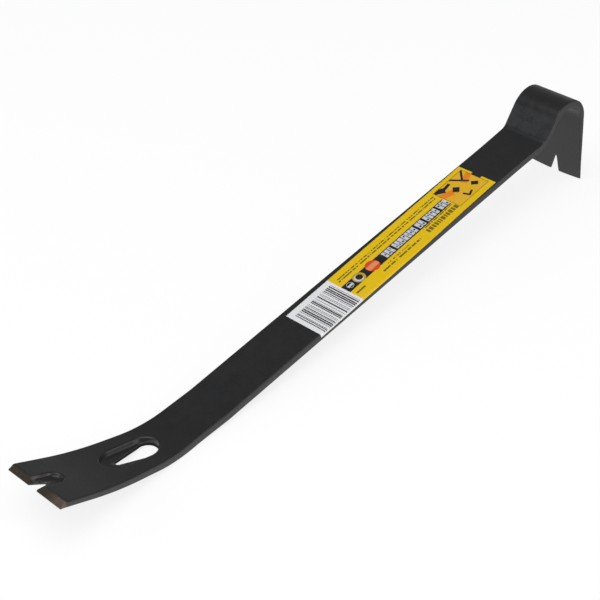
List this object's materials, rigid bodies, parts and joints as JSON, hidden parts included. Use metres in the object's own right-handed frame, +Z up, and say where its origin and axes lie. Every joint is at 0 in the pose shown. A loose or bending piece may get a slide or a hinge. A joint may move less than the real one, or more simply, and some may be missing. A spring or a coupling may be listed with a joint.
{
  "type": "pry bar",
  "caption": "Flat pry bar with a swept-up nail-pulling claw, a keyhole nail slot, a flat labelled shank and a gooseneck hook ending in a notched blade.",
  "frame": {"origin": "on the supporting surface, under the middle of the bar's box", "axes": "+X along the bar from the claw to the hook, +Y across its width, +Z up; the bar lies on its heel and on the edge of its hooked blade"},
  "size_m": [0.4588, 0.0444, 0.0656],
  "materials": {
    "lacquered_steel": "satin black lacquer over forged spring steel, bare where the claw is ground",
    "label_print": "printed vinyl label, yellow and white"
  },
  "bodies": {
    "root": {"steel_bar": "lacquered_steel", "product_label": "label_print"}
  },
  "joints": []
}
